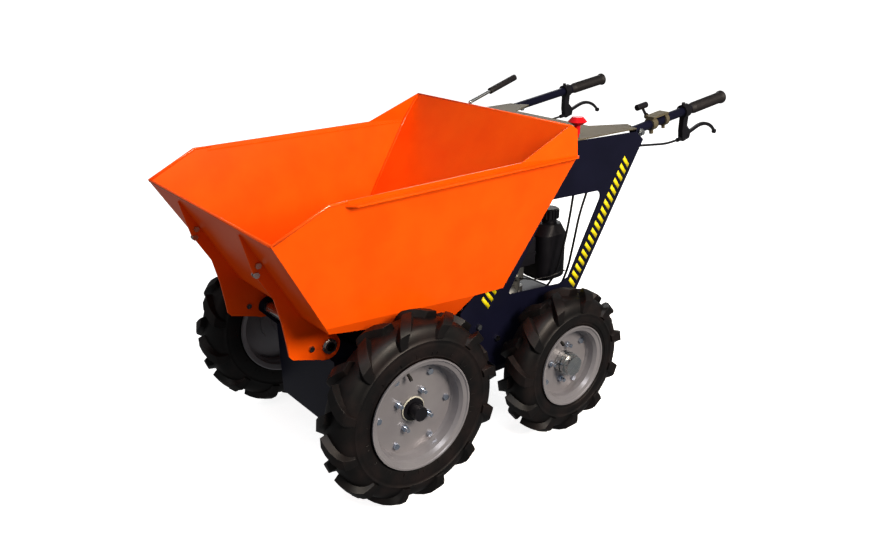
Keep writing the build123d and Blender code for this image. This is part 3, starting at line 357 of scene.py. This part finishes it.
def tyre_section(radius, rim_radius, width):
    """Half section from the crown to the bead: (across, out from the axle), then its smooth curve."""
    crown, half = radius - TREAD, width / 2
    knots = [(0.0, crown), (0.40, crown - 0.002), (0.74, crown - 0.009), (0.93, crown - 0.024),
             (1.0, crown - 0.046), (0.99, crown - 0.062), (0.95, rim_radius + 0.011),
             (0.90, rim_radius + 0.003), (0.84, rim_radius - 0.006)]
    points = [Vector((x * half, r)) for x, r in knots]
    curve = []
    for i in range(len(points) - 1):
        before, here = points[max(i - 1, 0)], points[i]
        after, beyond = points[i + 1], points[min(i + 2, len(points) - 1)]
        for step in range(5):
            t = step / 5
            bend = (2 * before - 5 * here + 4 * after - beyond) * t * t
            twist = (3 * here - before - 3 * after + beyond) * t ** 3
            curve.append(0.5 * ((2 * here) + (after - before) * t + bend + twist))
    return curve + [points[-1]]


def on_wheel(centre, across, out, angle):
    """Point on a wheel: across along the axle, out from it, at an angle from the rear."""
    return Vector((centre.x + across, centre.y + out * math.cos(angle), centre.z + out * math.sin(angle)))


def carcass(centre, section, turns=120):
    """The smooth doughnut, closed inside by the bead line. A ring and a groove part tread from sidewall."""
    ring_at = {19: 0.0022, 20: -0.0004, 21: -0.0006, 34: 0.0012}   # section point: shift along the axle
    line = [Vector((point.x + ring_at.get(index, 0.0), point.y)) for index, point in enumerate(section)]
    profile = [Vector((-p.x, p.y)) for p in reversed(line[1:])] + line
    verts = [on_wheel(centre, p.x, p.y, 2 * math.pi * k / turns) for p in profile for k in range(turns)]
    return verts, ring_faces(len(profile), turns, True)


def lug(centre, section, side, angle, tread_top, half_width):
    """One slanted bar. It starts past the crown's middle and ends on the sidewall, where it thins out."""
    # each station: reach from the crown to the shoulder, swing in degrees, half width in mm, height
    stations = [(-0.12, 0.0, 15.0, 1.0), (0.15, 3.0, 17.5, 1.0), (0.40, 6.4, 18.5, 1.0),
                (0.60, 9.2, 18.5, 1.0), (0.76, 11.2, 17.5, 1.0), (0.88, 12.4, 16.0, 1.0),
                (1.00, 13.2, 14.0, 0.95), (1.12, 13.8, 12.0, 0.72), (1.20, 14.0, 11.0, 0.50)]
    shoulder = 15                         # the section point that a reach of 1 stands for
    foot_depth, foot_spread, top_spread = 3.0 * MM, 1.22, 0.82
    verts = []
    for reach, swing, half_mm, height in stations:
        index = abs(reach) * shoulder
        low = int(index)
        point = section[low].lerp(section[low + 1], index - low)
        across = -1 if reach < 0 else 1
        tangent = section[low + 1] - section[low]
        normal = Vector((-tangent.y, tangent.x)).normalized() * -1
        if (normal.y if low < 8 else normal.x) < 0:
            normal = -normal
        top = point + normal * TREAD * height
        top = Vector((min(top.x, half_width), min(top.y, tread_top)))
        foot = point - normal * foot_depth
        turn = angle + math.radians(swing)
        for place, spread in ((foot, foot_spread), (top, top_spread)):
            half_turn = half_mm * MM * spread / place.y
            for direction in (-1, 1):
                verts.append(on_wheel(centre, place.x * across * side, place.y, turn + direction * half_turn))
    faces = []
    for i in range(len(stations) - 1):
        a, b = i * 4, i * 4 + 4
        faces += [(a, a + 1, b + 1, b), (a + 1, a + 3, b + 3, b + 1),
                  (a + 3, a + 2, b + 2, b + 3), (a + 2, a, b, b + 2)]
    last = (len(stations) - 1) * 4
    faces += [(0, 2, 3, 1), (last, last + 1, last + 3, last + 2)]
    return verts, faces


def tick(centre, section, side, angle):
    """A short moulded rib across the sidewall near the rim."""
    sunk, proud, half_width = 2.0 * MM, 1.2 * MM, 0.8 * MM
    rib_ends = (27, 31)                   # section points
    verts = []
    for index in rib_ends:
        point = section[index]
        for across in (point.x - sunk, point.x + proud):
            for direction in (-1, 1):
                turn = angle + direction * half_width / point.y
                verts.append(on_wheel(centre, across * side, point.y, turn))
    return verts, [(0, 1, 5, 4), (1, 3, 7, 5), (3, 2, 6, 7), (2, 0, 4, 6), (0, 2, 3, 1), (4, 5, 7, 6)]


# %% Four tyres
TICKS = 28


def build_tyre(node_name, lugs, rim_radius, body):
    """Replaces one plain tyre with a detailed one of the same size, in the same place."""
    low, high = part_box(node_name)
    centre = (low + high) / 2
    axle_height = AXLE_HEIGHT[node_name.split("_")[0]]
    centre.z = axle_height
    radius, width = axle_height - 0.0004, high.x - low.x - 0.004
    section = tyre_section(radius, rim_radius, width - 9 * MM)
    verts, faces = carcass(centre, section)
    for side in (1, -1):
        for step in range(lugs):
            angle = 2 * math.pi * (step + (0.5 if side < 0 else 0.0)) / lugs
            lug_verts, lug_faces = lug(centre, section, side, angle, radius, width / 2)
            faces += [tuple(i + len(verts) for i in face) for face in lug_faces]
            verts += lug_verts
        for step in range(TICKS):
            angle = 2 * math.pi * (step + 0.3 * (step % 3)) / TICKS
            tick_verts, tick_faces = tick(centre, section, side, angle)
            faces += [tuple(i + len(verts) for i in face) for face in tick_faces]
            verts += tick_verts
    tyre = new_piece(node_name + "_moulded", verts, faces, finishes["tyre"], body)
    round_edges(tyre, 2.2, 2, 40)
    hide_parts(node_name)
    return tyre


for end, lugs, rim_radius in (("front", 12, 0.140), ("rear", 11, 0.114)):
    for side in ("left", "right"):
        tyre = build_tyre(f"{end}_tyre_{side}", lugs, rim_radius, f"{end}_wheels")
        print(tyre.name, len(tyre.data.vertices), "vertices")

# %% [markdown]
# ## Wheel trim
# A tyre's valve stands in a slot near the rim. The pressed disc also has a pale nylon washer behind
# the hub cap at the front. They are small, but the eye finds a wheel bare without them.


# %% Turned pieces
def turned(name, origin, direction, profile, material, body, segments=32):
    """A lathe-turned piece: profile is (along the direction, radius) in millimetres from the origin."""
    axis = Vector(direction).normalized()
    side = axis.orthogonal().normalized()
    other = axis.cross(side)
    verts = []
    for along, radius in profile:
        for k in range(segments):
            angle = 2 * math.pi * k / segments
            verts.append(Vector(origin) + axis * along * MM
                         + (side * math.cos(angle) + other * math.sin(angle)) * max(radius, 0.01) * MM)
    faces = ring_faces(len(profile), segments, False)
    faces.append(tuple(range(segments)))
    faces.append(tuple((len(profile) - 1) * segments + k for k in range(segments)))
    return new_piece(name, verts, faces, material, body)


# %% Valves: the disc's face, the slot's distance from the axle and its angle in degrees
for end, disc, out, angle in (("front", 0.330, 0.120, 100), ("rear", 0.336, 0.096, 110)):
    rim_low, rim_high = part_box(f"{end}_rim_left")
    wheel_y = (rim_low.y + rim_high.y) / 2
    rise = Vector((0, math.cos(math.radians(angle)), math.sin(math.radians(angle))))
    for side, word in ((1, "left"), (-1, "right")):
        foot = Vector((side * disc, wheel_y, AXLE_HEIGHT[end])) + rise * out
        turned(f"{end}_valve_{word}", foot, Vector((side * 0.75, 0, 0)) - rise,
               [(-4, 6.5), (6, 6.0), (16, 4.2), (26, 3.6), (27, 4.4), (36, 4.4), (38, 3.0)],
               finishes["belt_rubber"], f"{end}_wheels", 20)
print("valves done, last at", tuple(round(v, 3) for v in foot))

# %% Hub washers
for side, word in ((1, "left"), (-1, "right")):
    low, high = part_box("front_hub_caps")
    cap_y, cap_z = (low.y + high.y) / 2, (low.z + high.z) / 2
    turned("hub_washer_" + word, (side * 0.3312, cap_y, cap_z), (side, 0, 0),
           [(-1, 24), (-1, 31), (0, 32), (2.2, 32), (3, 31), (3, 24)],
           pale_washer, "front_wheels", 48)
print("washers on the front hubs")

# %% [markdown]
# ## Sleeves on the controls
# The gear lever is a bare steel rod with a rubber sleeve pushed over its upper half. The stop knob
# stands on a plated stem. Both are round bars, so one helper that follows a line makes them.


# %% Round bars along a line
def rod(name, stations, radius_mm, material, body, segments=16):
    """A round bar through stations (x, back from the front axle, up) in millimetres, mitred at each one."""
    line = [Vector((x * MM, front_y + y * MM, z * MM)) for x, y, z in stations]
    verts = []
    for k, point in enumerate(line):
        run = (line[min(k + 1, len(line) - 1)] - line[max(k - 1, 0)]).normalized()
        side = run.cross(Vector((0, 0, 1))).normalized() if abs(run.z) < 0.95 else Vector((1, 0, 0))
        other = run.cross(side)
        for c in range(segments):
            angle = 2 * math.pi * c / segments
            verts.append(point + (side * math.cos(angle) + other * math.sin(angle)) * radius_mm * MM)
    faces = ring_faces(len(line), segments, False)
    faces += [tuple(range(segments)), tuple((len(line) - 1) * segments + c for c in range(segments))]
    return new_piece(name, verts, faces, material, body)


rod("gear_lever_sleeve", [(-200, 697, 841.1), (-200, 699, 841.7), (-200, 797.4, 872.5)], 9.2,
    finishes["grip_rubber"], "gear_lever_body", 24)
rod("knob_stem", [(232, 622, 791), (232, 622, 815)], 6.4, finishes["zinc"], "stop_knob_body", 24)
print("lever sleeve and knob stem done")

# %% [markdown]
# ## Hems and seams on the skip
# A sheet edge that gets hit by stones is folded back on itself, which leaves a round hem that catches
# the light. The corners inside the skip are welded, and the bead under the paint shines too.

# %% Hems, seams and the engine's last pieces
hem_coat = powder_coat("hem_powder_coat", "#FA6410", "#F65A0C", 0.18, 0.02, 0.8)
rod("front_hem", [(-317.6, -309.2, 712.4), (317.6, -309.2, 712.4)], 3.4, hem_coat, "skip")
rod("rear_hem", [(-310, 509.6, 838.4), (310, 509.6, 838.4)], 2.4, hem_coat, "skip")
for side, word in ((1, "left"), (-1, "right")):
    rod("side_hem_" + word, [(side * 318.4, -308, 713.6), (side * 326, -185, 771),
                             (side * 325.6, -140, 771.6)], 3.0, hem_coat, "skip")
    rod("corner_seam_" + word, [(side * 307, 505.5, 834), (side * 313.5, 452.5, 758),
                                (side * 271, 238, 466)], 2.6, hem_coat, "skip")
rod("choke_cable", [(176, 484, 404), (196, 520, 397), (216, 560, 402), (240, 596, 420)], 1.8,
    finishes["cable_sleeve"], "chassis")
turned("oil_cover", (0.170, front_y + 0.400, 0.366), (0.08, 1, 0.02),
       [(0, 10), (0, 20), (3, 25), (10, 28), (26, 29), (44, 27), (58, 24), (62, 19), (62, 8)],
       finishes["cast_aluminium"], "chassis", 40)
print("hems, seams and engine pieces done")

# %% [markdown]
# ## Handlebar grips
# Rubber grips are moulded with shallow rings for hold and a flared end. A turned profile gives both:
# rings every four millimetres or so along the tube, then the flare.

# %% Grips
for word in ("left", "right"):
    low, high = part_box("grip_" + word)
    x = (low.x + high.x) / 2
    slope = math.atan2(HANDLE_RISE, HANDLE_RUN)
    direction = Vector((0, math.cos(slope), math.sin(slope)))
    upright = Vector((0, -math.sin(slope), math.cos(slope)))
    end_point = Vector((x, high.y, high.z)) - direction * 0.0046 - upright * 0.0195
    profile = [(-157.5, 12.9), (-157.5, 14.0), (-142, 14.4), (-140, 16.2)]
    for step in range(30):
        along = -136 + step * 4.0
        profile += [(along, 16.4), (along + 1.2, 15.5), (along + 2.8, 15.5)]
    profile += [(-14, 16.4), (-9, 17.5), (-6, 19.3), (-2, 19.3), (-0.5, 17.5), (-0.5, 0.0)]
    grip = turned("grip_rings_" + word, end_point, direction, profile, finishes["grip_rubber"], "chassis",
                  40)
    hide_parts("grip_" + word)
print("grips done")

# %% [markdown]
# ## Plain markings
# The legs of the side frames carry yellow vinyl. Plain slanted bars stand in for any lettering. Each
# bar is a thin decal that lies just proud of the plate.


# %% Marking bars
def marking(name, x, start, end, count, length_mm, body):
    """A row of slanted bars from start to end, (y, z) stations in metres, on a plate at x."""
    first, last = Vector((0, *start)), Vector((0, *end))
    step = (last - first) / count
    run = (last - first).normalized()
    across = Vector((0, -run.z, run.y))
    thick = Vector((math.copysign(0.0004, x), 0, 0))
    verts, faces = [], []
    for k in range(count):
        centre = first + step * (k + 0.5) + Vector((x, 0, 0))
        lean = run * (0.16 * length_mm * MM)
        for offset in (Vector(), thick):
            for a, b in ((-1, -1), (1, -1), (1, 1), (-1, 1)):
                sideways = across * (a * length_mm * MM / 2) + lean * a
                verts.append(centre + offset + sideways + step * (b * 0.27))
        s = len(verts) - 8
        faces += [(s, s + 1, s + 2, s + 3), (s + 7, s + 6, s + 5, s + 4)]
        faces += [(s + c, s + (c + 1) % 4, s + 4 + (c + 1) % 4, s + 4 + c) for c in range(4)]
    return new_piece(name, verts, faces, marking_yellow, body)


frame_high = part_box("side_frame_left")[1]
for side, word in ((1, "left"), (-1, "right")):
    plate_x = side * (frame_high.x + 0.0002)
    marking("rear_leg_bars_" + word, plate_x, (front_y + 0.603, 0.376), (front_y + 0.806, 0.704),
            18, 32, "chassis")
    marking("front_strut_bars_" + word, plate_x, (front_y + 0.285, 0.402), (front_y + 0.330, 0.466),
            4, 36, "chassis")
print("markings done; front axle at", round(front_y, 4))

# %% [markdown]
# ## Floor and backdrop
# A plain pale floor and four far white walls that aren't part of the machine, as in a white studio.

# %% Floor and backdrop
reach = 60.0
corners = [(-reach, -reach), (reach, -reach), (reach, reach), (-reach, reach)]


def stage_sheet(name, verts, faces, material):
    """A studio surface that the camera sees but that throws no light back on the machine."""
    mesh = bpy.data.meshes.new(name)
    mesh.from_pydata(verts, [], faces)
    sheet = bpy.data.objects.new(name, mesh)
    bpy.context.scene.collection.objects.link(sheet)
    sheet.location.z = min(0.0, cad_box[0].z) - 0.0005
    dress(sheet, material)
    sheet.visible_diffuse = False
    sheet.visible_glossy = False
    return sheet


floor_paint, floor_tree, floor_shader = surface("pale_floor", Roughness=0.7, Emission_Strength=0.72)
floor_shader.inputs["Emission Color"].default_value = colour("#FFFFFF")
mottle(floor_tree, floor_shader, "#F4F4F4", "#F8F8F8", 400)
stage_sheet("floor", [(x, y, 0) for x, y in corners], [(0, 1, 2, 3)], floor_paint)
wall_paint, _, wall_shader = surface("white_backdrop", Roughness=0.8, Emission_Strength=1.0)
wall_shader.inputs["Emission Color"].default_value = colour("#FFFFFF")
backdrop = stage_sheet("backdrop", [(x, y, z) for z in (0, reach) for x, y in corners],
                       [(k, (k + 1) % 4, 4 + (k + 1) % 4, 4 + k) for k in range(4)], wall_paint)
backdrop.visible_shadow = False
print("floor and backdrop reach", reach, "m")
